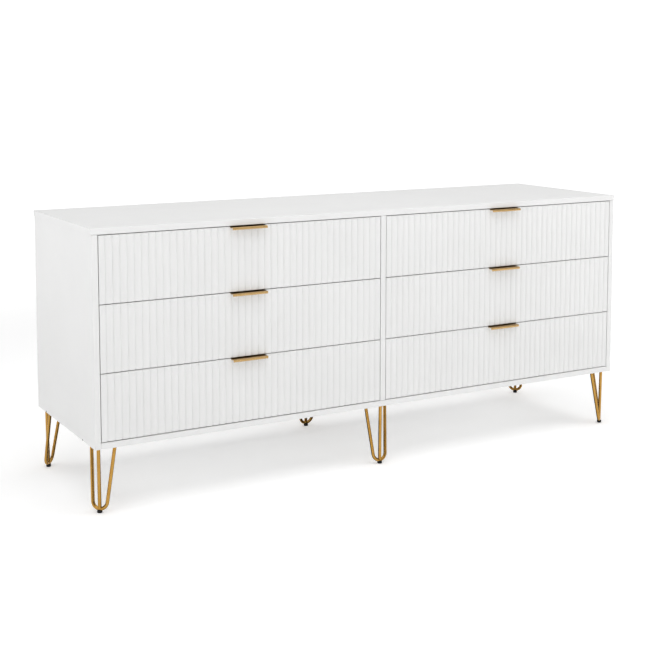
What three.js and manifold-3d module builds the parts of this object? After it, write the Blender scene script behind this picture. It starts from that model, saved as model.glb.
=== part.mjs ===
// A low six-drawer dresser: a white cabinet with two banks of three fluted drawers, edge pulls of
// bent brass sheet, and six three-rod hairpin legs. Millimetres, +Z up, the fronts face -Y.
// The origin is on the floor under the middle of the whole object.

import * as THREE from 'three';
import { mergeVertices } from 'three/addons/utils/BufferGeometryUtils.js';
import Module from 'manifold-3d';

const wasm = await Module();
wasm.setup();

// Driving dimensions.

const topWidth = 1600;
const topOverhang = 2; // past the outer face of each side panel
const caseDepth = 450;
const caseHeight = 525;
const legHeight = 160;
const boardThickness = 15;
const fitGap = 0.3; // between pieces that touch

const rowNames = ['bottom', 'middle', 'top'];
const bankSides = { left: -1, right: 1 };

const revealGap = 2; // round each drawer front
const frontThickness = 16;
const frontSetback = 0.5; // the crests of the ribs stand this far behind the edges of the case
const flutePitch = 18.05;
const fluteCount = 42;
const fluteDepth = 2.4;
const fluteShoulder = { width: 3.6, depth: 0.7 }; // where a rib turns from its flank to its crown

const pullWidth = 96;
const pullReach = 13; // in front of the case
const pullSheet = 1.5;
const pullLipDrop = 6;
const pullRearDrop = 17;
const pullSink = 1.2; // top of the pull below the top edge of its drawer front
const pullBend = 2; // outer radius of the bend at the lip

const boxHeight = 115;
const boxLength = 400;
const boxWall = 12;
const boxLift = 14; // bottom edge of the box above the bottom edge of its front
const drawerBottomThickness = 3;
const drawerBottomLift = 10; // groove above the bottom edge of the box
const drawerGrooveDepth = 6;

const backThickness = 3;
const backInset = 12; // from the rear edges of the case
const backGrooveDepth = 5;

const runnerSpace = 12.7; // between the wall of the case and the drawer box
const runnerLength = 400;
const runnerHeight = 35;
const runnerDepth = 9.6;
const runnerSheet = 1.2;
const runnerLip = 4;
const runnerSetback = 22; // front end of a runner behind the front of the case
const runnerLift = 40; // middle of a runner above the bottom edge of its drawer box

const rodRadius = 4.4;
const rodSides = 10;
const bendRadius = 19; // of the U-shaped rod, at its middle line
const bendSteps = 10;
const prongSpread = 30.5; // half the distance between the two prongs at the plate
const prongLean = 24.5; // how far the prongs stand behind the foot at the plate
const middleRodLean = 2; // how far the top of the middle rod stands in front of the foot
const plateThickness = 2.5;
const plateMargin = 8.5; // round the ends of the rods
const screwHoleRadius = 2.5;
const screwPlaces = [[-16.5, 10], [16.5, 10], [0, 27]]; // on a leg's plate, from the foot
const cornerFoot = { fromSide: 19, fromFace: 24 }; // from the edges of the top to the middle of a foot
const centreFoot = { fromFront: 15, fromRear: 24 };
const glideRadius = 6.3;
const glideChamfer = 0.8;
const glideStand = 5; // height of the rod above the floor
const glideCradle = 2.4; // how far a glide rises round the rod

// Places that follow from them.

const frontY = -(caseDepth + pullReach) / 2 + pullReach;
const rearY = frontY + caseDepth;
const caseBottomZ = legHeight;
const caseTopZ = legHeight + caseHeight;
const openingBottomZ = caseBottomZ + boardThickness;
const openingTopZ = caseTopZ - boardThickness;
const sideOuterX = topWidth / 2 - topOverhang;
const sideInnerX = sideOuterX - boardThickness;
const dividerHalf = boardThickness / 2;
const openingWidth = sideInnerX - dividerHalf;
const bankCentreX = dividerHalf + openingWidth / 2;
const frontWidth = openingWidth - 2 * revealGap;
const frontHeight = (openingTopZ - openingBottomZ - (rowNames.length + 1) * revealGap) / rowNames.length;
const frontFaceY = frontY + frontSetback;
const frontBackY = frontFaceY + frontThickness;
const boxWidth = openingWidth - 2 * runnerSpace;
const boxFrontY = frontBackY + fitGap;
const backPanelRearY = rearY - backInset;

// Finishes.

const finishes = {
  lacquer: { color: 0xf1f1ef, roughness: 0.45, metalness: 0 },
  hardboard: { color: 0xe6e3dc, roughness: 0.7, metalness: 0 },
  birch: { color: 0xdcc9a6, roughness: 0.6, metalness: 0 },
  brass: { color: 0xb9863c, roughness: 0.3, metalness: 1 },
  zinc: { color: 0xb4b8bb, roughness: 0.35, metalness: 1 },
  blackPlastic: { color: 0x141414, roughness: 0.55, metalness: 0 },
};

// Helpers.

const xAxis = new THREE.Vector3(1, 0, 0);
const yAxis = new THREE.Vector3(0, 1, 0);
const zAxis = new THREE.Vector3(0, 0, 1);

function makePiece(name, geometry, finish) {
  const piece = new THREE.Mesh(geometry, new THREE.MeshStandardMaterial(finishes[finish]));
  piece.name = name;
  return piece;
}

function boxBetween(low, high) {
  const size = high.map((value, axis) => value - low[axis]);
  const geometry = new THREE.BoxGeometry(...size);
  geometry.translate(...low.map((value, axis) => value + size[axis] / 2));
  return geometry;
}

function extrudeOutline(points, length) {
  const outline = new THREE.Shape(points.map(([x, y]) => new THREE.Vector2(x, y)));
  return new THREE.ExtrudeGeometry(outline, { depth: length, bevelEnabled: false });
}

// An outline of (y, z) points drawn out along +X from startX.
function extrudeAlongX(points, startX, length) {
  const geometry = extrudeOutline(points, length);
  geometry.applyMatrix4(new THREE.Matrix4().makeBasis(yAxis, zAxis, xAxis));
  geometry.translate(startX, 0, 0);
  return geometry;
}

// An outline of (x, z) points drawn out along -Y from startY.
function extrudeTowardsFront(points, startY, length) {
  const geometry = extrudeOutline(points, length);
  geometry.applyMatrix4(new THREE.Matrix4().makeBasis(xAxis, zAxis, yAxis.clone().negate()));
  geometry.translate(0, startY, 0);
  return geometry;
}

// An outline of (x, y) points drawn out along +Z from startZ.
function extrudeUpwards(points, startZ, height) {
  const geometry = extrudeOutline(points, height);
  geometry.translate(0, 0, startZ);
  return geometry;
}

function sweepRod(path, radius, steps) {
  const section = [];
  for (let side = 0; side < rodSides; side += 1) {
    const angle = (2 * Math.PI * side) / rodSides;
    section.push(new THREE.Vector2(radius * Math.cos(angle), radius * Math.sin(angle)));
  }
  return new THREE.ExtrudeGeometry(new THREE.Shape(section), { steps, extrudePath: path });
}

function toSolid(geometry) {
  const bare = geometry.clone();
  bare.deleteAttribute('normal');
  bare.deleteAttribute('uv');
  const merged = mergeVertices(bare);
  const mesh = new wasm.Mesh({
    numProp: 3,
    vertProperties: new Float32Array(merged.attributes.position.array),
    triVerts: new Uint32Array(merged.index.array),
  });
  return new wasm.Manifold(mesh);
}

function toGeometry(solid) {
  const mesh = solid.getMesh();
  const geometry = new THREE.BufferGeometry();
  geometry.setAttribute('position', new THREE.BufferAttribute(mesh.vertProperties, 3));
  geometry.setIndex(new THREE.BufferAttribute(mesh.triVerts, 1));
  geometry.computeVertexNormals();
  return geometry;
}

// The case.

function makeSidePanel(side) {
  const outerX = side * sideOuterX;
  const innerX = side * sideInnerX;
  const grooveX = innerX + side * backGrooveDepth;
  const grooveFrontY = backPanelRearY - backThickness - fitGap;
  const grooveRearY = backPanelRearY + fitGap;
  const outline = [
    [outerX, frontY], [innerX, frontY], [innerX, grooveFrontY], [grooveX, grooveFrontY],
    [grooveX, grooveRearY], [innerX, grooveRearY], [innerX, rearY], [outerX, rearY],
  ];
  return extrudeUpwards(outline, caseBottomZ, openingTopZ - fitGap - caseBottomZ);
}

function makeDivider() {
  const grooveX = dividerHalf - backGrooveDepth;
  const grooveFrontY = backPanelRearY - backThickness - fitGap;
  const grooveRearY = backPanelRearY + fitGap;
  const rightHalf = [
    [dividerHalf, frontY], [dividerHalf, grooveFrontY], [grooveX, grooveFrontY],
    [grooveX, grooveRearY], [dividerHalf, grooveRearY], [dividerHalf, rearY],
  ];
  const leftHalf = rightHalf.map(([x, y]) => [-x, y]).reverse();
  const height = openingTopZ - openingBottomZ - 2 * fitGap;
  return extrudeUpwards([...rightHalf, ...leftHalf], openingBottomZ + fitGap, height);
}

function makeBackPanel(side) {
  const ends = [
    side * (dividerHalf - backGrooveDepth + fitGap),
    side * (sideInnerX + backGrooveDepth - fitGap),
  ];
  return boxBetween(
    [Math.min(...ends), backPanelRearY - backThickness, openingBottomZ + fitGap],
    [Math.max(...ends), backPanelRearY, openingTopZ - fitGap],
  );
}

function makeCase() {
  const top = boxBetween([-topWidth / 2, frontY, openingTopZ], [topWidth / 2, rearY, caseTopZ]);
  const bottomHalf = sideInnerX - fitGap;
  const bottom = boxBetween([-bottomHalf, frontY, caseBottomZ], [bottomHalf, rearY, openingBottomZ]);
  const group = new THREE.Group();
  group.add(makePiece('top_panel', top, 'lacquer'));
  group.add(makePiece('bottom_panel', bottom, 'lacquer'));
  group.add(makePiece('centre_divider', makeDivider(), 'lacquer'));
  for (const [sideName, side] of Object.entries(bankSides)) {
    group.add(makePiece(`side_panel_${sideName}`, makeSidePanel(side), 'lacquer'));
    group.add(makePiece(`back_panel_${sideName}`, makeBackPanel(side), 'hardboard'));
  }
  return group;
}

// The runners fixed to the case.

// A steel channel, open towards the drawer. wallX is the face that it is fixed to, and inward is
// the direction from there to the drawer.
function makeRunner(wallX, inward, middleZ) {
  const half = runnerHeight / 2;
  const webOuter = fitGap;
  const webInner = fitGap + runnerSheet;
  const lipInner = runnerDepth - runnerSheet;
  const upperHalf = [
    [webOuter, half], [runnerDepth, half], [runnerDepth, half - runnerLip],
    [lipInner, half - runnerLip], [lipInner, half - runnerSheet], [webInner, half - runnerSheet],
  ];
  const lowerHalf = upperHalf.map(([x, z]) => [x, -z]).reverse();
  const outline = [...upperHalf, ...lowerHalf].map(([x, z]) => [wallX + inward * x, middleZ + z]);
  return extrudeTowardsFront(outline, frontY + runnerSetback + runnerLength, runnerLength);
}

// The drawers.

// Half-round ribs side by side, with a narrow groove between each two. The end ribs are cut to
// the width of the front. Points run from left to right, with y counted back from the crests.
function fluteOutline() {
  const firstGroove = -flutePitch * (fluteCount - 1) / 2;
  const points = [[-frontWidth / 2, 0]];
  for (let flute = 0; flute < fluteCount; flute += 1) {
    const grooveX = firstGroove + flute * flutePitch;
    points.push([grooveX - fluteShoulder.width, fluteShoulder.depth]);
    points.push([grooveX, fluteDepth]);
    points.push([grooveX + fluteShoulder.width, fluteShoulder.depth]);
    if (flute < fluteCount - 1) {
      points.push([grooveX + flutePitch / 2, 0]);
    }
  }
  points.push([frontWidth / 2, 0]);
  return points;
}

function makeDrawerFront(bankX, bottomZ) {
  const outline = [...fluteOutline(), [frontWidth / 2, frontThickness], [-frontWidth / 2, frontThickness]];
  const placed = outline.map(([x, y]) => [bankX + x, frontFaceY + y]);
  const board = toSolid(extrudeUpwards(placed, bottomZ, frontHeight));
  const topZ = bottomZ + frontHeight;
  const notchHalf = pullWidth / 2 + fitGap;
  const notch = boxBetween(
    [bankX - notchHalf, frontY - 1, topZ - pullSink - pullSheet - fitGap],
    [bankX + notchHalf, frontBackY + 1, topZ + 1],
  );
  return toGeometry(board.subtract(toSolid(notch)));
}

// Sheet bent twice: down behind the drawer front, over its top edge and down again as a lip.
function makePull(bankX, frontTopZ) {
  const topZ = frontTopZ - pullSink;
  const lipY = frontY - pullReach;
  const rearLegY = frontBackY + fitGap;
  const outline = [
    [rearLegY + pullSheet, topZ], [rearLegY + pullSheet, topZ - pullRearDrop],
    [rearLegY, topZ - pullRearDrop], [rearLegY, topZ - pullSheet],
    [lipY + pullSheet, topZ - pullSheet], [lipY + pullSheet, topZ - pullLipDrop],
    [lipY, topZ - pullLipDrop],
  ];
  const bendPoints = 4;
  for (let step = 0; step < bendPoints; step += 1) {
    const angle = (Math.PI / 2) * (step / (bendPoints - 1));
    const y = lipY + pullBend - pullBend * Math.cos(angle);
    const z = topZ - pullBend + pullBend * Math.sin(angle);
    outline.push([y, z]);
  }
  return extrudeAlongX(outline, bankX - pullWidth / 2, pullWidth);
}

// One board folded round the two sides and the back, with a groove for the bottom inside it.
function makeDrawerBox(bankX, bottomZ) {
  const outerHalf = boxWidth / 2;
  const innerHalf = outerHalf - boxWall;
  const rearOuterY = boxFrontY + boxLength;
  const rearInnerY = rearOuterY - boxWall;
  const outline = [
    [-outerHalf, boxFrontY], [-innerHalf, boxFrontY], [-innerHalf, rearInnerY],
    [innerHalf, rearInnerY], [innerHalf, boxFrontY], [outerHalf, boxFrontY],
    [outerHalf, rearOuterY], [-outerHalf, rearOuterY],
  ];
  const placed = outline.map(([x, y]) => [bankX + x, y]);
  const wrap = toSolid(extrudeUpwards(placed, bottomZ, boxHeight));
  const grooveHalf = innerHalf + drawerGrooveDepth;
  const grooveBottomZ = bottomZ + drawerBottomLift;
  const groove = boxBetween(
    [bankX - grooveHalf, boxFrontY - 1, grooveBottomZ],
    [bankX + grooveHalf, rearInnerY + drawerGrooveDepth, grooveBottomZ + drawerBottomThickness + 2 * fitGap],
  );
  return toGeometry(wrap.subtract(toSolid(groove)));
}

function makeDrawerBottom(bankX, bottomZ) {
  const half = boxWidth / 2 - boxWall + drawerGrooveDepth - fitGap;
  const rearY = boxFrontY + boxLength - boxWall + drawerGrooveDepth - fitGap;
  const undersideZ = bottomZ + drawerBottomLift + fitGap;
  return boxBetween(
    [bankX - half, boxFrontY, undersideZ],
    [bankX + half, rearY, undersideZ + drawerBottomThickness],
  );
}

function makeDrawers() {
  const group = new THREE.Group();
  for (const [bankName, side] of Object.entries(bankSides)) {
    const bankX = side * bankCentreX;
    rowNames.forEach((rowName, row) => {
      const frontBottomZ = openingBottomZ + revealGap + row * (frontHeight + revealGap);
      const boxBottomZ = frontBottomZ + boxLift;
      const runnerZ = boxBottomZ + runnerLift;
      const place = `${bankName}_${rowName}`;
      group.add(makePiece(`drawer_front_${place}`, makeDrawerFront(bankX, frontBottomZ), 'lacquer'));
      group.add(makePiece(`drawer_pull_${place}`, makePull(bankX, frontBottomZ + frontHeight), 'brass'));
      group.add(makePiece(`drawer_box_${place}`, makeDrawerBox(bankX, boxBottomZ), 'birch'));
      group.add(makePiece(`drawer_bottom_${place}`, makeDrawerBottom(bankX, boxBottomZ), 'hardboard'));
      group.add(makePiece(`runner_outer_${place}`, makeRunner(side * sideInnerX, -side, runnerZ), 'zinc'));
      group.add(makePiece(`runner_inner_${place}`, makeRunner(side * dividerHalf, side, runnerZ), 'zinc'));
    });
  }
  return group;
}

// The legs.

// The middle line of the U-shaped rod: down one prong, round the bend and up the other. It lies in
// a plane that leans back from the foot. Points are spaced by steps and not by length, so that
// each straight prong takes one step and the bend takes the others.
class HairpinLine extends THREE.Curve {
  constructor(bottomZ, topZ) {
    super();
    this.bottomZ = bottomZ;
    this.lean = new THREE.Vector3(0, prongLean, topZ - bottomZ);
    this.height = this.lean.length();
    this.lean.normalize();
    const rise = this.height - bendRadius;
    const reach = Math.hypot(prongSpread, rise);
    this.bendEnd = Math.atan2(prongSpread, rise) + Math.acos(bendRadius / reach);
    this.steps = bendSteps + 2;
  }

  getUtoTmapping(u) {
    return u;
  }

  getPoint(t) {
    const step = t * this.steps;
    const bendShare = THREE.MathUtils.clamp((step - 1) / bendSteps, 0, 1);
    const angle = this.bendEnd + bendShare * 2 * (Math.PI - this.bendEnd);
    let across = bendRadius * Math.sin(angle);
    let up = bendRadius + bendRadius * Math.cos(angle);
    const prongShare = Math.max(1 - step, step - 1 - bendSteps, 0);
    const prongTop = Math.sign(across) * prongSpread;
    across += prongShare * (prongTop - across);
    up += prongShare * (this.height - up);
    return new THREE.Vector3(across, 0, this.bottomZ).addScaledVector(this.lean, up);
  }
}

// The outline that keeps a margin round the ends of the three rods.
function plateOutline() {
  const ends = [[0, -middleRodLean], [prongSpread, prongLean], [-prongSpread, prongLean]];
  const cornerPoints = 5;
  const points = [];
  ends.forEach(([x, y], index) => {
    const [lastX, lastY] = ends[(index + 2) % 3];
    const [nextX, nextY] = ends[(index + 1) % 3];
    const startAngle = Math.atan2(y - lastY, x - lastX) - Math.PI / 2;
    let turn = Math.atan2(nextY - y, nextX - x) - Math.PI / 2 - startAngle;
    turn = THREE.MathUtils.euclideanModulo(turn, 2 * Math.PI);
    for (let step = 0; step < cornerPoints; step += 1) {
      const angle = startAngle + turn * (step / (cornerPoints - 1));
      points.push([x + plateMargin * Math.cos(angle), y + plateMargin * Math.sin(angle)]);
    }
  });
  return points;
}

const rodBottomZ = glideStand + rodRadius;
const plateBottomZ = legHeight - fitGap - plateThickness;
const rodTopZ = plateBottomZ + plateThickness / 2;

function makeScrewHole(x, y) {
  const holeSides = 12;
  const hole = new THREE.CylinderGeometry(screwHoleRadius, screwHoleRadius, 2 * plateThickness, holeSides);
  hole.rotateX(Math.PI / 2);
  hole.translate(x, y, plateBottomZ + plateThickness / 2);
  return hole;
}

function makeLeg() {
  const bentRod = toSolid(sweepRod(new HairpinLine(rodBottomZ, rodTopZ), rodRadius, bendSteps + 2));
  const middleLine = new THREE.LineCurve3(
    new THREE.Vector3(0, -middleRodLean, rodTopZ),
    new THREE.Vector3(0, 0, rodBottomZ),
  );
  const middleRod = toSolid(sweepRod(middleLine, rodRadius, 1));
  let plate = toSolid(extrudeUpwards(plateOutline(), plateBottomZ, plateThickness));
  for (const [x, y] of screwPlaces) {
    plate = plate.subtract(toSolid(makeScrewHole(x, y)));
  }
  return toGeometry(plate.add(bentRod).add(middleRod));
}

// A plastic foot that cradles the bottom of the bent rod.
function makeGlide() {
  const height = glideStand + glideCradle;
  const profile = [
    [0, 0], [glideRadius - glideChamfer, 0], [glideRadius, glideChamfer], [glideRadius, height], [0, height],
  ];
  const glideSides = 16;
  const body = new THREE.LatheGeometry(profile.map(([r, z]) => new THREE.Vector2(r, z)), glideSides);
  body.rotateX(Math.PI / 2);
  const channel = sweepRod(new HairpinLine(rodBottomZ, rodTopZ), rodRadius + fitGap, bendSteps + 2);
  return toGeometry(toSolid(body).subtract(toSolid(channel)));
}

// The prongs of each leg lean towards the middle of the case, so a corner leg is turned by an
// eighth of a circle from the centre one.
function makeLegs() {
  const group = new THREE.Group();
  const footX = topWidth / 2 - cornerFoot.fromSide;
  const footFrontY = frontY + cornerFoot.fromFace;
  const footRearY = rearY - cornerFoot.fromFace;
  const places = [
    { name: 'front_left', x: -footX, y: footFrontY, turn: -Math.PI / 4 },
    { name: 'front_centre', x: 0, y: frontY + centreFoot.fromFront, turn: 0 },
    { name: 'front_right', x: footX, y: footFrontY, turn: Math.PI / 4 },
    { name: 'back_left', x: -footX, y: footRearY, turn: -3 * Math.PI / 4 },
    { name: 'back_centre', x: 0, y: rearY - centreFoot.fromRear, turn: Math.PI },
    { name: 'back_right', x: footX, y: footRearY, turn: 3 * Math.PI / 4 },
  ];
  for (const { name, x, y, turn } of places) {
    const standing = new THREE.Group();
    standing.position.set(x, y, 0);
    standing.rotation.z = turn;
    standing.add(makePiece(`leg_${name}`, makeLeg(), 'brass'));
    standing.add(makePiece(`glide_${name}`, makeGlide(), 'blackPlastic'));
    group.add(standing);
  }
  return group;
}

const dresser = new THREE.Group();
dresser.add(makeCase());
dresser.add(makeDrawers());
dresser.add(makeLegs());

export default dresser;
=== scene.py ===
import math

import bmesh
import bpy
from mathutils import Matrix, Vector


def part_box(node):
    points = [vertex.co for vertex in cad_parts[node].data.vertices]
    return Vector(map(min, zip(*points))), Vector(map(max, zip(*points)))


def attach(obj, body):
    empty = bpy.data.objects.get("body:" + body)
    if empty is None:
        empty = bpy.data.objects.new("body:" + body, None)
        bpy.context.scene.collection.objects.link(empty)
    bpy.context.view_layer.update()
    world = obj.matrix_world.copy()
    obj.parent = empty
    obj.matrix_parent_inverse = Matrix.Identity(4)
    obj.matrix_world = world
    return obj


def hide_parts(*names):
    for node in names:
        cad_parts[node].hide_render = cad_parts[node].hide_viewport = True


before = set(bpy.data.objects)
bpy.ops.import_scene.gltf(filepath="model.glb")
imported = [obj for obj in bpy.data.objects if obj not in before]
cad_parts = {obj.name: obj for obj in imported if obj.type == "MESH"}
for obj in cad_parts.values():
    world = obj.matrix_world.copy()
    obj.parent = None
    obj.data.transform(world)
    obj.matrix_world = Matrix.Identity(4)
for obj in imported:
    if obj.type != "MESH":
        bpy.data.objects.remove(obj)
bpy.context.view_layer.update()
mm = 0.001
hair = mm / 1000  # closer than this counts as touching
sharpAngle = math.radians(34)  # steeper folds than this are edges
print("frame loaded:", len(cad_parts), "nodes")


# Shapes are lists of points and faces until they become a mesh.

def newShape():
    return {"points": [], "faces": [], "finish": []}


def addFace(shape, corners):
    shape["faces"].append(tuple(corners))
    shape["finish"].append(0)


def addRings(shape, rings):
    start = len(shape["points"])
    count = len(rings[0])
    for ring in rings:
        shape["points"].extend(Vector(point) for point in ring)
    for step in range(len(rings) - 1):
        low = start + step * count
        high = low + count
        for index in range(count):
            after = (index + 1) % count
            addFace(shape, (low + index, low + after, high + after, high + index))
    last = start + (len(rings) - 1) * count
    addFace(shape, [start + index for index in reversed(range(count))])
    addFace(shape, [last + index for index in range(count)])


def addSweep(shape, outline, toPoint, ends):
    addRings(shape, [[toPoint(a, b, end) for a, b in outline] for end in ends])


def upward(x, y, end):
    return (x, y, end)


def sideways(y, z, end):
    return (end, y, z)


def circle(radius, sides):
    angles = [2 * math.pi * side / sides for side in range(sides)]
    return [(radius * math.cos(angle), radius * math.sin(angle)) for angle in angles]


def quarterTurn(steps):
    return [math.pi / 2 * step / steps for step in range(steps + 1)]


def addTube(shape, path, radius, sides):
    offLine = Vector((0.3, 0.9, 0.1))  # any direction that no rod runs in
    rings = []
    side = None
    for index, point in enumerate(path):
        before = path[max(index - 1, 0)]
        after = path[min(index + 1, len(path) - 1)]
        along = (after - before).normalized()
        if side is None:
            side = along.cross(offLine).normalized()
        side = (side - along * side.dot(along)).normalized()
        other = along.cross(side)
        rings.append([point + side * x + other * y for x, y in circle(radius, sides)])
    addRings(shape, rings)


def roundedCorners(corners, steps):
    outline = []
    count = len(corners)
    for index, (point, radius) in enumerate(corners):
        here = Vector(point)
        toLast = (Vector(corners[index - 1][0]) - here).normalized()
        toNext = (Vector(corners[(index + 1) % count][0]) - here).normalized()
        if radius == 0:
            outline.append((here.x, here.y))
            continue
        half = toLast.angle(toNext) / 2
        middle = here + (toLast + toNext).normalized() * (radius / math.sin(half))
        first = here + toLast * (radius / math.tan(half)) - middle
        last = here + toNext * (radius / math.tan(half)) - middle
        turn = first.angle_signed(last)
        for step in range(steps + 1):
            spoke = Matrix.Rotation(-turn * step / steps, 2) @ first
            outline.append((middle.x + spoke.x, middle.y + spoke.y))
    return outline


def shapeFromBox(low, high):
    shape = newShape()
    corners = [(low.x, low.y), (high.x, low.y), (high.x, high.y), (low.x, high.y)]
    addSweep(shape, corners, upward, [low.z, high.z])
    return shape


def finishPiece(name, shape, looks, body, edge=0.0, edgeSteps=2, stands=None):
    mesh = bpy.data.meshes.new(name)
    mesh.from_pydata([tuple(point) for point in shape["points"]], [], shape["faces"])
    for material in looks:
        mesh.materials.append(material)
    for polygon, finish in zip(mesh.polygons, shape["finish"]):
        polygon.material_index = finish
    work = bmesh.new()
    work.from_mesh(mesh)
    bmesh.ops.remove_doubles(work, verts=work.verts, dist=hair)
    bmesh.ops.recalc_face_normals(work, faces=work.faces)
    work.to_mesh(mesh)
    work.free()
    mesh.shade_smooth()
    piece = bpy.data.objects.new(name, mesh)
    bpy.context.scene.collection.objects.link(piece)
    if edge:
        bevel = piece.modifiers.new("rounded edges", "BEVEL")
        bevel.width = edge
        bevel.segments = edgeSteps
        bevel.limit_method = "ANGLE"
        bevel.angle_limit = sharpAngle
        bevel.harden_normals = True
        bevel.use_clamp_overlap = True
    else:
        mesh.set_sharp_from_angle(angle=sharpAngle)
    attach(piece, body)
    if stands:
        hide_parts(stands)
    return piece


# Materials. Noise scales are in waves per metre.

noiseLow = 0.3  # most of a noise lies between these two
noiseHigh = 0.7


def newLook(name):
    material = bpy.data.materials.new(name)
    material.use_nodes = True
    tree = material.node_tree
    shader = tree.nodes["Principled BSDF"]
    spot = tree.nodes.new("ShaderNodeTexCoord").outputs["Object"]
    return material, tree, shader, spot


def addStretch(tree, spot, scale):
    mapping = tree.nodes.new("ShaderNodeMapping")
    mapping.inputs["Scale"].default_value = scale
    tree.links.new(spot, mapping.inputs["Vector"])
    return mapping.outputs["Vector"]


def addNoise(tree, vector, scale, detail=3.0, roughness=0.5, distortion=0.0):
    noise = tree.nodes.new("ShaderNodeTexNoise")
    noise.inputs["Scale"].default_value = scale
    noise.inputs["Detail"].default_value = detail
    noise.inputs["Roughness"].default_value = roughness
    noise.inputs["Distortion"].default_value = distortion
    tree.links.new(vector, noise.inputs["Vector"])
    return noise.outputs["Fac"]


def addColours(tree, value, stops, socket):
    ramp = tree.nodes.new("ShaderNodeValToRGB")
    while len(ramp.color_ramp.elements) < len(stops):
        ramp.color_ramp.elements.new(0.5)
    for element, (position, colour) in zip(ramp.color_ramp.elements, stops):
        element.position = position
        element.color = (*colour, 1.0)
    tree.links.new(value, ramp.inputs["Fac"])
    tree.links.new(ramp.outputs["Color"], socket)


def addRange(tree, value, low, high, socket):
    spread = tree.nodes.new("ShaderNodeMapRange")
    spread.inputs["From Min"].default_value = noiseLow
    spread.inputs["From Max"].default_value = noiseHigh
    spread.inputs["To Min"].default_value = low
    spread.inputs["To Max"].default_value = high
    tree.links.new(value, spread.inputs["Value"])
    tree.links.new(spread.outputs["Result"], socket)


def addBump(tree, height, strength, distance, shader):
    bump = tree.nodes.new("ShaderNodeBump")
    bump.inputs["Strength"].default_value = strength
    bump.inputs["Distance"].default_value = distance
    tree.links.new(height, bump.inputs["Height"])
    tree.links.new(bump.outputs["Normal"], shader.inputs["Normal"])


# Sprayed lacquer: faint clouds in the white and a fine orange peel.

lacquer = {"clouds": 5.0, "cloudDetail": 4.0, "cloudLow": 0.35, "cloudHigh": 0.65, "sheen": 60.0,
           "peel": 700.0, "fineDetail": 2.0, "relief": 0.12, "depth": 0.15 * mm, "coat": 0.08,
           "coatRoughness": 0.3}


def makeLacquer(name, pale, shade, smooth, rough):
    look, tree, shader, spot = newLook(name)
    clouds = addNoise(tree, spot, lacquer["clouds"], lacquer["cloudDetail"])
    stops = [(lacquer["cloudLow"], shade), (lacquer["cloudHigh"], pale)]
    addColours(tree, clouds, stops, shader.inputs["Base Color"])
    sheen = addNoise(tree, spot, lacquer["sheen"], lacquer["fineDetail"])
    addRange(tree, sheen, smooth, rough, shader.inputs["Roughness"])
    peel = addNoise(tree, spot, lacquer["peel"], lacquer["fineDetail"])
    addBump(tree, peel, lacquer["relief"], lacquer["depth"], shader)
    shader.inputs["Coat Weight"].default_value = lacquer["coat"]
    shader.inputs["Coat Roughness"].default_value = lacquer["coatRoughness"]
    return look


# Gold metal, brushed along the piece.

gold = {"clouds": 30.0, "relief": 0.15, "depth": 0.1 * mm}


def makeGold(name, pale, shade, smooth, rough, grain):
    look, tree, shader, spot = newLook(name)
    shader.inputs["Metallic"].default_value = 1.0
    clouds = addNoise(tree, spot, gold["clouds"])
    addColours(tree, clouds, [(noiseLow, shade), (noiseHigh, pale)], shader.inputs["Base Color"])
    brushed = addNoise(tree, addStretch(tree, spot, grain), 1.0)
    addRange(tree, brushed, smooth, rough, shader.inputs["Roughness"])
    addBump(tree, brushed, gold["relief"], gold["depth"], shader)
    return look


# Zinc plate with its faint crystals.

plating = {"flakes": 220.0, "dark": (0.54, 0.56, 0.58), "light": (0.60, 0.62, 0.64), "lightFrom": 0.8,
           "mottle": 220.0, "smooth": 0.28, "rough": 0.42, "relief": 0.08, "depth": 0.1 * mm}


def makeZinc(name):
    look, tree, shader, spot = newLook(name)
    shader.inputs["Metallic"].default_value = 1.0
    voronoi = tree.nodes.new("ShaderNodeTexVoronoi")
    voronoi.inputs["Scale"].default_value = plating["flakes"]
    tree.links.new(spot, voronoi.inputs["Vector"])
    flakes = voronoi.outputs["Distance"]
    stops = [(0.0, plating["dark"]), (plating["lightFrom"], plating["light"])]
    addColours(tree, flakes, stops, shader.inputs["Base Color"])
    mottle = addNoise(tree, spot, plating["mottle"])
    addRange(tree, mottle, plating["smooth"], plating["rough"], shader.inputs["Roughness"])
    addBump(tree, flakes, plating["relief"], plating["depth"], shader)
    return look


# Birch, with its grain along the board. The dark fibres are the rougher ones.

birch = {"dark": (0.55, 0.40, 0.24), "light": (0.74, 0.60, 0.41), "darkUpTo": 0.28, "lightFrom": 0.72,
         "detail": 6.0, "roughness": 0.62, "waviness": 0.6, "rough": 0.62, "smooth": 0.48, "relief": 0.2,
         "depth": 0.2 * mm}


def makeBirch(name, grain):
    look, tree, shader, spot = newLook(name)
    stretched = addStretch(tree, spot, grain)
    fibres = addNoise(tree, stretched, 1.0, birch["detail"], birch["roughness"], birch["waviness"])
    between = [(a + b) / 2 for a, b in zip(birch["dark"], birch["light"])]
    stops = [(birch["darkUpTo"], birch["dark"]), (0.5, between), (birch["lightFrom"], birch["light"])]
    addColours(tree, fibres, stops, shader.inputs["Base Color"])
    addRange(tree, fibres, birch["rough"], birch["smooth"], shader.inputs["Roughness"])
    addBump(tree, fibres, birch["relief"], birch["depth"], shader)
    return look


# Pressed fibre board for the backs and the drawer bases.

fibreBoard = {"fibres": 160.0, "detail": 5.0, "roughness": 0.7, "patches": 40.0, "smooth": 0.55,
              "rough": 0.68, "grit": 900.0, "relief": 0.2, "depth": 0.2 * mm}


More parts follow.
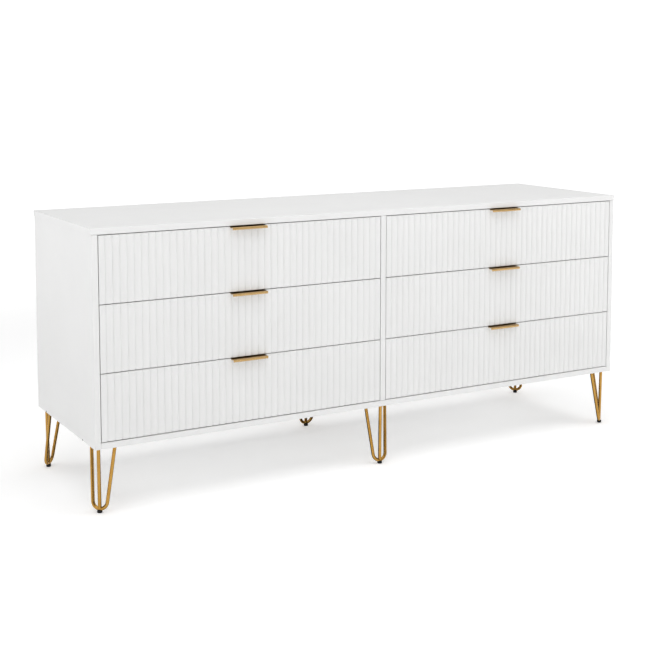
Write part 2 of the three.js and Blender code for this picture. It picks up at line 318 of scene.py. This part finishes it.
def makeFibreBoard(name, dark, light):
    look, tree, shader, spot = newLook(name)
    fibres = addNoise(tree, spot, fibreBoard["fibres"], fibreBoard["detail"], fibreBoard["roughness"])
    addColours(tree, fibres, [(noiseLow, dark), (noiseHigh, light)], shader.inputs["Base Color"])
    patches = addNoise(tree, spot, fibreBoard["patches"])
    addRange(tree, patches, fibreBoard["smooth"], fibreBoard["rough"], shader.inputs["Roughness"])
    addBump(tree, addNoise(tree, spot, fibreBoard["grit"]), fibreBoard["relief"], fibreBoard["depth"], shader)
    return look


# Moulded plastic with a fine texture.

plastic = {"clouds": 90.0, "patches": 300.0, "smooth": 0.4, "rough": 0.6, "grit": 1500.0, "gritDetail": 2.0,
           "relief": 0.15, "depth": 0.1 * mm, "specular": 0.25}


def makePlastic(name, dark, light):
    look, tree, shader, spot = newLook(name)
    clouds = addNoise(tree, spot, plastic["clouds"])
    addColours(tree, clouds, [(noiseLow, dark), (noiseHigh, light)], shader.inputs["Base Color"])
    patches = addNoise(tree, spot, plastic["patches"])
    addRange(tree, patches, plastic["smooth"], plastic["rough"], shader.inputs["Roughness"])
    grit = addNoise(tree, spot, plastic["grit"], plastic["gritDetail"])
    addBump(tree, grit, plastic["relief"], plastic["depth"], shader)
    shader.inputs["Specular IOR Level"].default_value = plastic["specular"]
    return look


whiteCase = makeLacquer("whiteCaseLacquer", pale=(0.86, 0.86, 0.855), shade=(0.84, 0.84, 0.835),
                        smooth=0.38, rough=0.5)
whiteFront = makeLacquer("whiteFrontLacquer", pale=(0.85, 0.85, 0.845), shade=(0.83, 0.83, 0.825),
                         smooth=0.30, rough=0.38)
pullGold = makeGold("champagneGold", pale=(0.56, 0.375, 0.165), shade=(0.50, 0.325, 0.14),
                    smooth=0.20, rough=0.28, grain=(8.0, 900.0, 900.0))
legGold = makeGold("satinBrass", pale=(0.51, 0.29, 0.07), shade=(0.44, 0.24, 0.055),
                   smooth=0.13, rough=0.20, grain=(500.0, 500.0, 12.0))
zinc = makeZinc("zincPlate")
sideBirch = makeBirch("birchAlongSides", grain=(160.0, 6.0, 90.0))
backBirch = makeBirch("birchAlongBack", grain=(6.0, 160.0, 90.0))
paleBoard = makeFibreBoard("paleFibreBoard", dark=(0.74, 0.73, 0.70), light=(0.80, 0.79, 0.76))
baseBoard = makeFibreBoard("drawerBaseBoard", dark=(0.66, 0.64, 0.60), light=(0.74, 0.72, 0.68))
blackPlastic = makePlastic("blackPlastic", dark=(0.006, 0.006, 0.006), light=(0.012, 0.012, 0.012))
darkPlastic = makePlastic("darkPlastic", dark=(0.07, 0.07, 0.07), light=(0.10, 0.10, 0.10))
greyPlastic = makePlastic("greyPlastic", dark=(0.30, 0.30, 0.30), light=(0.36, 0.36, 0.36))
print("materials made:", len(bpy.data.materials))


# A screw head with a cross-shaped recess, standing on a surface and facing along the given axis.
# The profile is in shares of its radius and height.

screwHead = {"sides": 24, "profile": ((0.98, 0.0), (1.0, 0.25), (0.93, 0.6), (0.7, 1.0)), "arm": 0.52,
             "waist": 0.17, "sink": 0.55}


def addScrew(shape, spot, axis, radius, height):
    place = Matrix.Translation(spot) @ Vector(axis).to_track_quat("Z", "Y").to_matrix().to_4x4()
    sides = screwHead["sides"]
    rings = []
    for out, up in screwHead["profile"]:
        rings.append([place @ Vector((x, y, height * up)) for x, y in circle(radius * out, sides)])
    for level in (height, height * (1 - screwHead["sink"])):
        ring = []
        for side, (x, y) in enumerate(circle(radius, sides)):
            onArm = side % (sides // 4) in (0, 1)
            share = screwHead["arm"] if onArm else screwHead["waist"]
            ring.append(place @ Vector((x * share, y * share, level)))
        rings.append(ring)
    addRings(shape, rings)


# The case boards. The sides and the divider are grooved for the back.

boards = {"edge": 0.9 * mm, "edgeSteps": 3, "grooveDepth": 5 * mm, "grooveFit": 0.3 * mm}


def finishBoard(name, shape, stands):
    finishPiece(name, shape, [whiteCase], "case",
                boards["edge"], boards["edgeSteps"], stands)


def makeCaseBoards():
    for name in ("top_panel", "bottom_panel"):
        low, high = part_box(name)
        finishBoard(name.replace("_panel", "Board"), shapeFromBox(low, high), name)
    backLow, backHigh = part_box("back_panel_left")
    grooveFront = backLow.y - boards["grooveFit"]
    grooveRear = backHigh.y + boards["grooveFit"]
    for side, sign in (("left", -1), ("right", 1)):
        name = f"side_panel_{side}"
        low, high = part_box(name)
        outer = high.x if sign > 0 else low.x
        inner = low.x if sign > 0 else high.x
        deep = inner + sign * boards["grooveDepth"]
        outline = [(outer, low.y), (inner, low.y), (inner, grooveFront), (deep, grooveFront),
                   (deep, grooveRear), (inner, grooveRear), (inner, high.y), (outer, high.y)]
        shape = newShape()
        addSweep(shape, outline, upward, [low.z, high.z])
        finishBoard(f"sideBoard_{side}", shape, name)
    low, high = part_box("centre_divider")
    deep = high.x - boards["grooveDepth"]
    half = [(high.x, low.y), (high.x, grooveFront), (deep, grooveFront), (deep, grooveRear),
            (high.x, grooveRear), (high.x, high.y)]
    outline = half + [(-x, y) for x, y in reversed(half)]
    shape = newShape()
    addSweep(shape, outline, upward, [low.z, high.z])
    finishBoard("centreDivider", shape, "centre_divider")


# Small dark caps over the screws low on the sides. The profile is in shares of their radius and dome.

sideCaps = {"radius": 2.1 * mm, "dome": 0.5 * mm, "sunk": 0.3 * mm,
            "profile": ((1.0, 0.4), (0.85, 0.8), (0.5, 1.0)), "lift": 2.7 * mm, "fromFront": 0.09,
            "fromRear": 0.07, "sides": 20}


def makeSideCaps():
    for side, sign in (("left", -1), ("right", 1)):
        low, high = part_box(f"side_panel_{side}")
        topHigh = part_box("top_panel")[1]
        outer = high.x if sign > 0 else low.x
        rise = min(sideCaps["dome"], topHigh.x - abs(outer))  # no further out than the top
        z = low.z + sideCaps["lift"]
        levels = [(1.0, -sideCaps["sunk"])] + [(out, rise * up) for out, up in sideCaps["profile"]]
        shape = newShape()
        for y in (low.y + sideCaps["fromFront"], high.y - sideCaps["fromRear"]):
            rings = []
            for share, level in levels:
                spokes = circle(sideCaps["radius"] * share, sideCaps["sides"])
                rings.append([(outer + sign * level, y + a, z + b) for a, b in spokes])
            addRings(shape, rings)
        finishPiece(f"sideCaps_{side}", shape, [darkPlastic], "case")


# The backs, and the plastic wedges that keep them tight in their grooves.

backs = {"edge": 0.3 * mm}
wedges = {"width": 16 * mm, "height": 11 * mm, "depth": 5 * mm, "thinDepth": 1.5 * mm, "thickUpTo": 0.3,
          "shares": (0.2, 0.5, 0.8), "edge": 0.5 * mm}


def makeBack(side):
    name = f"back_panel_{side}"
    low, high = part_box(name)
    finishPiece(f"backBoard_{side}", shapeFromBox(low, high), [paleBoard], "case",
                backs["edge"], 1, name)
    shape = newShape()
    for level, sign in ((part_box("bottom_panel")[1].z, 1), (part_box("top_panel")[0].z, -1)):
        tall = wedges["height"] * sign
        outline = [(high.y, level), (high.y + wedges["depth"], level),
                   (high.y + wedges["depth"], level + tall * wedges["thickUpTo"]),
                   (high.y + wedges["thinDepth"], level + tall), (high.y, level + tall)]
        for share in wedges["shares"]:
            middle = low.x + (high.x - low.x) * share
            ends = [middle - wedges["width"] / 2, middle + wedges["width"] / 2]
            addSweep(shape, outline, sideways, ends)
    finishPiece(f"backWedges_{side}", shape, [greyPlastic], "case", wedges["edge"])


makeCaseBoards()
makeSideCaps()
makeBack("left")
makeBack("right")
print("case built")


# The edge pulls of bent sheet.

pulls = {"sheet": 1.5 * mm, "bend": 2.0 * mm, "rearBend": 2.2 * mm, "bendSteps": 6, "edge": 0.35 * mm,
         "lipDrop": 6 * mm, "screwShares": (0.14, 0.86), "screwDrop": 11 * mm, "screwRadius": 3.2 * mm,
         "screwHeight": 1.6 * mm}


def makePull(place, body):
    name = f"drawer_pull_{place}"
    low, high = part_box(name)
    sheet = pulls["sheet"]
    lipFoot = high.z - pulls["lipDrop"]
    corners = [((low.y, lipFoot), 0), ((low.y, high.z), pulls["bend"]), ((high.y, high.z), pulls["rearBend"]),
               ((high.y, low.z), 0), ((high.y - sheet, low.z), 0),
               ((high.y - sheet, high.z - sheet), pulls["rearBend"] - sheet),
               ((low.y + sheet, high.z - sheet), pulls["bend"] - sheet), ((low.y + sheet, lipFoot), 0)]
    shape = newShape()
    addSweep(shape, roundedCorners(corners, pulls["bendSteps"]), sideways, [low.x, high.x])
    finishPiece(f"edgePull_{place}", shape, [pullGold], body, pulls["edge"], 2, name)
    screws = newShape()
    for share in pulls["screwShares"]:
        spot = (low.x + (high.x - low.x) * share, high.y, high.z - pulls["screwDrop"])
        addScrew(screws, spot, (0, 1, 0), pulls["screwRadius"], pulls["screwHeight"])
    finishPiece(f"pullScrews_{place}", screws, [zinc], body)


# The fluted drawer fronts, notched in the middle of the top edge for the pull.
# The face has a row of points faceBreak edge widths below the notch.

flutes = {"pitch": 18.05 * mm, "count": 42, "depth": 2.8 * mm, "round": 0.62, "steps": 11, "crowding": 1.5}
fronts = {"edge": 0.8 * mm, "edgeSteps": 3, "notchFit": 0.3 * mm, "notchSlope": 0.35 * mm, "faceBreak": 4,
          "endGap": 0.1 * mm, "columnGap": 0.2 * mm, "digits": 7}
groovePlaces = [flutes["pitch"] * (index - (flutes["count"] - 1) / 2) for index in range(flutes["count"])]


def fluteDrop(x):
    nearest = min(abs(x - groove) for groove in groovePlaces)
    fromCrest = min(max(1 - nearest / (flutes["pitch"] / 2), 0.0), 1.0)
    return flutes["depth"] * (1 - (1 - fromCrest ** 2) ** flutes["round"])


def endDrop(x, half):
    inside = half - abs(x)
    edge = fronts["edge"]
    if inside >= edge:
        return 0.0
    return edge - math.sqrt(max(edge ** 2 - (edge - inside) ** 2, 0.0))


def frontColumns(half, notchHalf):
    digits = fronts["digits"]
    outerNotch = notchHalf + fronts["notchSlope"]
    marks = set(round(mark, digits) for mark in (-notchHalf, notchHalf, -outerNotch, outerNotch))
    for angle in quarterTurn(fronts["edgeSteps"]):
        end = half - fronts["edge"] * (1 - math.sin(angle))
        marks.update((round(-end, digits), round(end, digits)))
    reach = half - fronts["edge"] - fronts["endGap"]
    for groove in groovePlaces:
        for step in range(-flutes["steps"], flutes["steps"]):
            share = abs(step / flutes["steps"]) ** flutes["crowding"]  # closer together towards the groove
            spot = groove + math.copysign(share * flutes["pitch"] / 2, step)
            clear = all(abs(abs(spot) - mark) > fronts["columnGap"] for mark in marks if mark > 0)
            if abs(spot) < reach and clear:
                marks.add(round(spot, digits))
    return sorted(marks)


def makeFront(place, body):
    name = f"drawer_front_{place}"
    low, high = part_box(name)
    pullLow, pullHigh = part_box(f"drawer_pull_{place}")
    notchHalf = (pullHigh.x - pullLow.x) / 2 + fronts["notchFit"]
    notchLevel = pullHigh.z - pulls["sheet"] - fronts["notchFit"]
    middle = (low.x + high.x) / 2
    half = (high.x - low.x) / 2
    edge = fronts["edge"]
    angles = quarterTurn(fronts["edgeSteps"])
    rings = []
    for column in frontColumns(half, notchHalf):
        x = middle + column
        top = notchLevel if abs(column) <= notchHalf + hair else high.z
        face = low.y + fluteDrop(column) + endDrop(column, half)
        ring = []
        for angle in angles:
            ring.append((x, face + edge * (1 - math.sin(angle)), low.z + edge * (1 - math.cos(angle))))
        ring.append((x, face, notchLevel - fronts["faceBreak"] * edge))
        for angle in angles:
            ring.append((x, face + edge * (1 - math.cos(angle)), top - edge * (1 - math.sin(angle))))
        ring.append((x, high.y, top))
        ring.append((x, high.y, low.z))
        rings.append(ring)
    shape = newShape()
    addRings(shape, rings)
    front = finishPiece(f"flutedFront_{place}", shape, [whiteFront], body, stands=name)
    flatness = front.modifiers.new("flat faces stay flat", "WEIGHTED_NORMAL")
    flatness.keep_sharp = True


# The drawer boxes: one board folded round both sides and the back, with the base in its groove.

boxes = {"wall": 12 * mm, "edge": 0.7 * mm, "grooveLift": 10 * mm, "grooveTall": 3.6 * mm,
         "grooveDepth": 6 * mm, "baseEdge": 0.25 * mm}


def makeBox(place, body):
    name = f"drawer_box_{place}"
    low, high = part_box(name)
    wall = boxes["wall"]
    groove = wall - boxes["grooveDepth"]
    grooveLow = low.z + boxes["grooveLift"]
    grooveHigh = grooveLow + boxes["grooveTall"]
    section = [(0, low.z), (0, high.z), (wall, high.z), (wall, grooveHigh), (groove, grooveHigh),
               (groove, grooveLow), (wall, grooveLow), (wall, low.z)]
    leftFront = [(low.x + deep, low.y, z) for deep, z in section]
    leftRear = [(low.x + deep, high.y - deep, z) for deep, z in section]
    rightRear = [(high.x - deep, high.y - deep, z) for deep, z in section]
    rightFront = [(high.x - deep, low.y, z) for deep, z in section]
    shape = newShape()
    addRings(shape, [leftFront, leftRear, rightRear, rightFront])
    for index in range(len(section), 2 * len(section)):
        shape["finish"][index] = 1  # the back's grain runs the other way
    finishPiece(f"drawerWrap_{place}", shape, [sideBirch, backBirch], body,
                boxes["edge"], 2, name)
    base = f"drawer_bottom_{place}"
    baseLow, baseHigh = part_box(base)
    finishPiece(f"drawerBase_{place}", shapeFromBox(baseLow, baseHigh), [baseBoard], body,
                boxes["baseEdge"], 1, base)


# The corner brackets that hold each front to the sides of its box.

brackets = {"tall": 34 * mm, "leg": 16 * mm, "sheet": 1.6 * mm, "bend": 0.8 * mm, "bendSteps": 3,
            "edge": 0.3 * mm, "screwReach": 0.62, "screwLevels": (-0.28, 0.28), "screwSink": 0.1 * mm,
            "screwRadius": 3.4 * mm, "screwHeight": 1.5 * mm}


def makeBrackets(place, body):
    low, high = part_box(f"drawer_box_{place}")
    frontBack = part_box(f"drawer_front_{place}")[1].y
    middleZ = (low.z + high.z) / 2
    sheet = brackets["sheet"]
    leg = brackets["leg"]
    insides = ((low.x + boxes["wall"], 1), (high.x - boxes["wall"], -1))
    shape = newShape()
    for inner, sign in insides:
        corners = [((inner, frontBack), 0), ((inner + sign * leg, frontBack), 0),
                   ((inner + sign * leg, frontBack + sheet), 0),
                   ((inner + sign * sheet, frontBack + sheet), brackets["bend"]),
                   ((inner + sign * sheet, frontBack + leg), 0), ((inner, frontBack + leg), 0)]
        ends = [middleZ - brackets["tall"] / 2, middleZ + brackets["tall"] / 2]
        addSweep(shape, roundedCorners(corners, brackets["bendSteps"]), upward, ends)
    finishPiece(f"frontBrackets_{place}", shape, [zinc], body, brackets["edge"])
    out = sheet - brackets["screwSink"]
    reach = leg * brackets["screwReach"]
    radius = brackets["screwRadius"]
    height = brackets["screwHeight"]
    screws = newShape()
    for inner, sign in insides:
        for level in brackets["screwLevels"]:
            z = middleZ + level * brackets["tall"]
            addScrew(screws, (inner + sign * reach, frontBack + out, z), (0, 1, 0), radius, height)
            addScrew(screws, (inner + sign * out, frontBack + reach, z), (sign, 0, 0), radius, height)
    finishPiece(f"bracketScrews_{place}", screws, [zinc], body)


# The drawer runners: a channel on the case and a slimmer one on the drawer that slides in it.

runners = {"sheet": 1.2 * mm, "lip": 4 * mm, "edge": 0.25 * mm, "bend": 1.6 * mm, "bendSteps": 4,
           "fit": 0.3 * mm, "screwShares": (0.09, 0.46, 0.87), "screwRadius": 3.6 * mm,
           "screwHeight": 1.7 * mm}
slimRunners = {"half": 11.5 * mm, "depth": 7.4 * mm, "gap": 0.15 * mm, "fromFront": 3 * mm,
               "screwShares": (0.05, 0.5, 0.95), "screwSize": 0.9}


def makeCaseRunner(place, where, towardDrawer):
    name = f"runner_{where}_{place}"
    low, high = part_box(name)
    sheet = runners["sheet"]
    fit = runners["fit"]
    bend = runners["bend"]
    lip = runners["lip"]
    wall = low.x - fit if towardDrawer > 0 else high.x + fit
    middleZ = (low.z + high.z) / 2
    half = (high.z - low.z) / 2
    deep = high.x - low.x + fit
    corners = [((fit, half), bend), ((deep, half), bend), ((deep, half - lip), 0),
               ((deep - sheet, half - lip), 0), ((deep - sheet, half - sheet), bend - sheet),
               ((fit + sheet, half - sheet), bend - sheet),
               ((fit + sheet, -half + sheet), bend - sheet), ((deep - sheet, -half + sheet), bend - sheet),
               ((deep - sheet, -half + lip), 0), ((deep, -half + lip), 0), ((deep, -half), bend),
               ((fit, -half), bend)]
    outline = roundedCorners(corners, runners["bendSteps"])
    shape = newShape()
    addSweep(shape, outline, lambda a, b, end: (wall + towardDrawer * a, end, middleZ + b), [low.y, high.y])
    finishPiece(f"caseRunner_{where}_{place}", shape, [zinc], "case", runners["edge"], 1, name)
    screws = newShape()
    for share in runners["screwShares"]:
        spot = (wall + towardDrawer * (fit + sheet), low.y + (high.y - low.y) * share, middleZ)
        addScrew(screws, spot, (towardDrawer, 0, 0), runners["screwRadius"], runners["screwHeight"])
    finishPiece(f"caseRunnerScrews_{where}_{place}", screws, [zinc], "case")


def makeDrawerRunner(place, where, towardDrawer):
    low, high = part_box(f"runner_{where}_{place}")
    boxLow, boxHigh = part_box(f"drawer_box_{place}")
    sheet = runners["sheet"]
    bend = runners["bend"]
    slim = slimRunners["half"]
    reach = slimRunners["depth"]
    gap = slimRunners["gap"]
    boxFace = boxLow.x if towardDrawer > 0 else boxHigh.x
    middleZ = (low.z + high.z) / 2
    corners = [((gap, slim), bend), ((reach, slim), 0), ((reach, slim - sheet), 0),
               ((gap + sheet, slim - sheet), bend - sheet), ((gap + sheet, -slim + sheet), bend - sheet),
               ((reach, -slim + sheet), 0), ((reach, -slim), 0), ((gap, -slim), bend)]
    outline = roundedCorners(corners, runners["bendSteps"])
    ends = [boxLow.y + slimRunners["fromFront"], boxHigh.y]
    shape = newShape()
    addSweep(shape, outline, lambda a, b, end: (boxFace - towardDrawer * a, end, middleZ + b), ends)
    body = f"drawer_{place}"
    finishPiece(f"drawerRunner_{where}_{place}", shape, [zinc], body, runners["edge"], 1)
    radius = runners["screwRadius"] * slimRunners["screwSize"]
    screws = newShape()
    for share in slimRunners["screwShares"]:
        spot = (boxFace - towardDrawer * (gap + sheet), ends[0] + (ends[1] - ends[0]) * share, middleZ)
        addScrew(screws, spot, (-towardDrawer, 0, 0), radius, runners["screwHeight"])
    finishPiece(f"drawerRunnerScrews_{where}_{place}", screws, [zinc], body)


for bank in ("left", "right"):
    for row in ("bottom", "middle", "top"):
        place = f"{bank}_{row}"
        body = f"drawer_{place}"
        makeFront(place, body)
        makePull(place, body)
        makeBox(place, body)
        makeBrackets(place, body)
        for where in ("outer", "inner"):
            onLeft = (bank == "left") == (where == "outer")
            towardDrawer = 1 if onLeft else -1
            makeCaseRunner(place, where, towardDrawer)
            makeDrawerRunner(place, where, towardDrawer)
print("drawers built")


# The hairpin legs: a bent rod and a straight one under a plate, welded.

legs = {"rod": 4.4 * mm, "sides": 24, "bend": 19 * mm, "bendSteps": 24, "spread": 30.5 * mm,
        "lean": 24.5 * mm, "middleLean": 2 * mm}
plates = {"thick": 2.5 * mm, "margin": 8.5 * mm, "cornerSteps": 8, "edge": 0.5 * mm,
          "screws": ((-16.5 * mm, 10 * mm), (16.5 * mm, 10 * mm), (0, 27 * mm)), "screwRadius": 4 * mm,
          "screwHeight": 1.4 * mm}
welds = {"size": 2.6 * mm, "steps": 5, "inside": 0.96, "sunk": 0.4 * mm, "ripple": 0.04, "rippleTurn": 2.4,
         "rippleShift": 900}
rodTops = ((0, -legs["middleLean"]), (legs["spread"], legs["lean"]), (-legs["spread"], legs["lean"]))


def hairpinPath(bottom, top):
    lean = Vector((0, legs["lean"], top - bottom))
    height = lean.length
    lean.normalize()
    radius = legs["bend"]
    spread = legs["spread"]
    rise = height - radius
    bendStart = math.atan2(spread, rise) + math.acos(radius / math.hypot(spread, rise))
    flat = [(spread, height)]
    for step in range(legs["bendSteps"] + 1):
        angle = bendStart + step / legs["bendSteps"] * 2 * (math.pi - bendStart)
        flat.append((radius * math.sin(angle), radius + radius * math.cos(angle)))
    flat.append((-spread, height))
    return [Vector((across, 0, bottom)) + lean * up for across, up in flat]


def addWeld(shape, stand, x, y, plateBottom):
    rings = []
    for angle in quarterTurn(welds["steps"]):
        out = legs["rod"] * welds["inside"] + welds["size"] * (1 - math.sin(angle))
        level = plateBottom + welds["sunk"] - welds["size"] * (1 - math.cos(angle))
        ring = []
        for side, (across, along) in enumerate(circle(1.0, legs["sides"])):
            ripple = 1 + welds["ripple"] * math.sin(side * welds["rippleTurn"] + x * welds["rippleShift"])
            ring.append(stand @ Vector((x + out * ripple * across, y + out * ripple * along, level)))
        rings.append(ring)
    addRings(shape, rings)


def makeRods(place, stand, rodBottom, plateBottom):
    rodTop = plateBottom + plates["thick"] / 2
    shape = newShape()
    bentPath = [stand @ point for point in hairpinPath(rodBottom, rodTop)]
    addTube(shape, bentPath, legs["rod"], legs["sides"])
    straightPath = [stand @ Vector((0, -legs["middleLean"], rodTop)), stand @ Vector((0, 0, rodBottom))]
    addTube(shape, straightPath, legs["rod"], legs["sides"])
    for x, y in rodTops:
        addWeld(shape, stand, x, y, plateBottom)
    finishPiece(f"hairpinRods_{place}", shape, [legGold], "case", stands=f"leg_{place}")


def plateOutline():
    outline = []
    for index, (x, y) in enumerate(rodTops):
        lastX, lastY = rodTops[index - 1]
        nextX, nextY = rodTops[(index + 1) % len(rodTops)]
        first = math.atan2(y - lastY, x - lastX) - math.pi / 2
        turn = (math.atan2(nextY - y, nextX - x) - math.pi / 2 - first) % (2 * math.pi)
        for step in range(plates["cornerSteps"] + 1):
            angle = first + turn * step / plates["cornerSteps"]
            outline.append((x + plates["margin"] * math.cos(angle), y + plates["margin"] * math.sin(angle)))
    return outline


def makePlate(place, stand, plateBottom, plateTop):
    shape = newShape()
    ends = [plateBottom, plateTop]
    addSweep(shape, plateOutline(), lambda a, b, end: stand @ Vector((a, b, end)), ends)
    finishPiece(f"legPlate_{place}", shape, [legGold], "case", plates["edge"])
    screws = newShape()
    for x, y in plates["screws"]:
        spot = stand @ Vector((x, y, plateBottom))
        addScrew(screws, spot, (0, 0, -1), plates["screwRadius"], plates["screwHeight"])
    finishPiece(f"legScrews_{place}", screws, [zinc], "case")


# The plastic foot, dished where the rod sits in it.

glides = {"radius": 6.3 * mm, "stand": 5 * mm, "cradle": 2.4 * mm, "rim": 1.1 * mm, "sides": 32, "sole": 0.5,
          "soleRound": 0.3, "topRound": 0.4, "dishRings": (0.8, 0.6, 0.35, 0.12)}


def makeGlide(place, stand, rodBottom):
    radius = glides["radius"]
    top = glides["stand"] + glides["cradle"]
    rim = glides["rim"]
    soft = rim * glides["soleRound"]
    topSoft = rim * glides["topRound"]
    outside = [(radius * glides["sole"], 0.0), (radius - rim, 0.0), (radius - soft, soft), (radius, rim),
               (radius, top - topSoft)]
    rings = []
    for out, level in outside:
        rings.append([stand @ Vector((x, y, level)) for x, y in circle(out, glides["sides"])])
    rod = legs["rod"]
    bend = legs["bend"]
    for out in [radius - topSoft] + [radius * share for share in glides["dishRings"]]:
        ring = []
        for x, y in circle(out, glides["sides"]):
            level = top
            if abs(y) < rod:
                level = rodBottom + bend - math.sqrt(bend ** 2 - x * x) - math.sqrt(rod ** 2 - y * y)
            ring.append(stand @ Vector((x, y, min(level, top))))
        rings.append(ring)
    shape = newShape()
    addRings(shape, rings)
    finishPiece(f"footGlide_{place}", shape, [blackPlastic], "case", stands=f"glide_{place}")


legTurns = {"left": -math.pi / 4, "centre": 0.0, "right": math.pi / 4}

for row in ("front", "back"):
    for column in ("left", "centre", "right"):
        place = f"{row}_{column}"
        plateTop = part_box(f"leg_{place}")[1].z
        plateBottom = plateTop - plates["thick"]
        glideLow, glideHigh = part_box(f"glide_{place}")
        foot = (glideLow + glideHigh) / 2
        turn = legTurns[column] if row == "front" else math.pi - legTurns[column]
        stand = Matrix.Translation((foot.x, foot.y, 0)) @ Matrix.Rotation(turn, 4, "Z")
        rodBottom = glides["stand"] + legs["rod"]
        makeRods(place, stand, rodBottom, plateBottom)
        makePlate(place, stand, plateBottom, plateTop)
        makeGlide(place, stand, rodBottom)
print("legs built")


# The studio floor glows more towards the distance, so it fades into the white behind.

floorLook = {"half": 40.0, "noise": 0.8, "dark": (0.93, 0.93, 0.93), "light": (0.94, 0.94, 0.94),
             "roughness": 0.9, "nearGlow": 0.24, "farGlow": 1.0, "glowStart": 1.5, "glowEnd": 5.0}


def newStageObject(name, mesh):
    thing = bpy.data.objects.new(name, mesh)
    bpy.context.scene.collection.objects.link(thing)
    return thing


def makeFlat(name, halfWide, halfDeep, level):
    mesh = bpy.data.meshes.new(name)
    corners = [(-halfWide, -halfDeep, level), (halfWide, -halfDeep, level), (halfWide, halfDeep, level),
               (-halfWide, halfDeep, level)]
    mesh.from_pydata(corners, [], [(0, 1, 2, 3)])
    return newStageObject(name, mesh)


def makeFloor():
    floor = makeFlat("floor", floorLook["half"], floorLook["half"], 0)
    look, tree, shader, spot = newLook("paleFloor")
    stops = [(noiseLow, floorLook["dark"]), (noiseHigh, floorLook["light"])]
    addColours(tree, addNoise(tree, spot, floorLook["noise"]), stops, shader.inputs["Base Color"])
    shader.inputs["Roughness"].default_value = floorLook["roughness"]
    shader.inputs["Specular IOR Level"].default_value = 0.0
    shader.inputs["Emission Color"].default_value = (1, 1, 1, 1)
    distance = tree.nodes.new("ShaderNodeVectorMath")
    distance.operation = "LENGTH"
    tree.links.new(spot, distance.inputs[0])
    glow = tree.nodes.new("ShaderNodeMapRange")
    glow.interpolation_type = "SMOOTHSTEP"
    glow.inputs["From Min"].default_value = floorLook["glowStart"]
    glow.inputs["From Max"].default_value = floorLook["glowEnd"]
    glow.inputs["To Min"].default_value = floorLook["nearGlow"]
    glow.inputs["To Max"].default_value = floorLook["farGlow"]
    tree.links.new(distance.outputs["Value"], glow.inputs["Value"])
    tree.links.new(glow.outputs["Result"], shader.inputs["Emission Strength"])
    floor.data.materials.append(look)
    return floor


# A white surround that only the camera sees. The light in the room comes from the world.

surround = {"radius": 60.0, "segments": 32, "rings": 16, "strength": 1.1, "roomLight": 0.31}


def makeSurround():
    work = bmesh.new()
    bmesh.ops.create_uvsphere(work, u_segments=surround["segments"], v_segments=surround["rings"],
                              radius=surround["radius"])
    mesh = bpy.data.meshes.new("surround")
    work.to_mesh(mesh)
    work.free()
    dome = newStageObject("surround", mesh)
    white = bpy.data.materials.new("whiteSurround")
    white.use_nodes = True
    tree = white.node_tree
    tree.nodes.clear()
    glow = tree.nodes.new("ShaderNodeEmission")
    glow.inputs["Strength"].default_value = surround["strength"]
    output = tree.nodes.new("ShaderNodeOutputMaterial")
    tree.links.new(glow.outputs["Emission"], output.inputs["Surface"])
    mesh.materials.append(white)
    dome.visible_diffuse = False
    dome.visible_glossy = False
    dome.visible_shadow = False
    dome.visible_transmission = False
    dome.visible_volume_scatter = False
    return dome


# A dark card under the case that only reflections show, for contrast in the rods.

darkCard = {"halfWide": 0.78, "halfDeep": 0.2, "level": mm, "dark": (0.02, 0.02, 0.02),
            "light": (0.03, 0.03, 0.03)}


def makeDarkCard():
    card = makeFlat("darkCard", darkCard["halfWide"], darkCard["halfDeep"], darkCard["level"])
    card.data.materials.append(makePlastic("darkCard", darkCard["dark"], darkCard["light"]))
    card.visible_camera = False
    card.visible_diffuse = False
    card.visible_shadow = False
    return card


def makeStudio():
    floor = makeFloor()
    dome = makeSurround()
    card = makeDarkCard()
    world = bpy.data.worlds.new("studio")
    bpy.context.scene.world = world
    world.use_nodes = True
    background = world.node_tree.nodes["Background"]
    background.inputs["Color"].default_value = (1, 1, 1, 1)
    background.inputs["Strength"].default_value = surround["roomLight"]


# The right softbox is left out of reflections, so that the top doesn't white out from behind.

softboxes = {
    "overheadSoftbox": {"spot": (0, -0.3, 3.2), "aim": (0, 0, 0.3), "size": (5.0, 4.0), "power": 100,
                        "inGloss": True},
    "leftSoftbox": {"spot": (-3.6, -1.4, 1.4), "aim": (-0.8, 0, 0.4), "size": (2.5, 2.5), "power": 17,
                    "inGloss": True},
    "rightSoftbox": {"spot": (4.0, -2.4, 1.3), "aim": (0.3, 0, 0.4), "size": (1.6, 1.8), "power": 33,
                     "inGloss": False},
}


def addSoftbox(name, softbox):
    lamp = bpy.data.lights.new(name, "AREA")
    lamp.shape = "RECTANGLE"
    lamp.size, lamp.size_y = softbox["size"]
    lamp.energy = softbox["power"]
    holder = newStageObject(name, lamp)
    holder.location = softbox["spot"]
    holder.rotation_mode = "QUATERNION"
    holder.rotation_quaternion = (Vector(softbox["aim"]) - Vector(softbox["spot"])).to_track_quat("-Z", "Y")
    holder.visible_glossy = softbox["inGloss"]


makeStudio()
for name, softbox in softboxes.items():
    addSoftbox(name, softbox)

view = {"spot": (-1.7464, -2.9752, 1.0481), "yaw": 29.557, "pitch": 5.617, "lens": 69.76, "sensor": 36,
        "shift": -0.2}
camera = bpy.data.cameras.new("studioCamera")
camera.sensor_width = view["sensor"]
camera.lens = view["lens"]
camera.shift_y = view["shift"]
cameraHolder = newStageObject("studioCamera", camera)
cameraHolder.location = view["spot"]
cameraHolder.rotation_euler = (math.radians(90 - view["pitch"]), 0, -math.radians(view["yaw"]))
bpy.context.scene.camera = cameraHolder
bpy.context.scene.view_settings.view_transform = "Standard"
bpy.context.scene.view_settings.look = "None"
print("studio set")
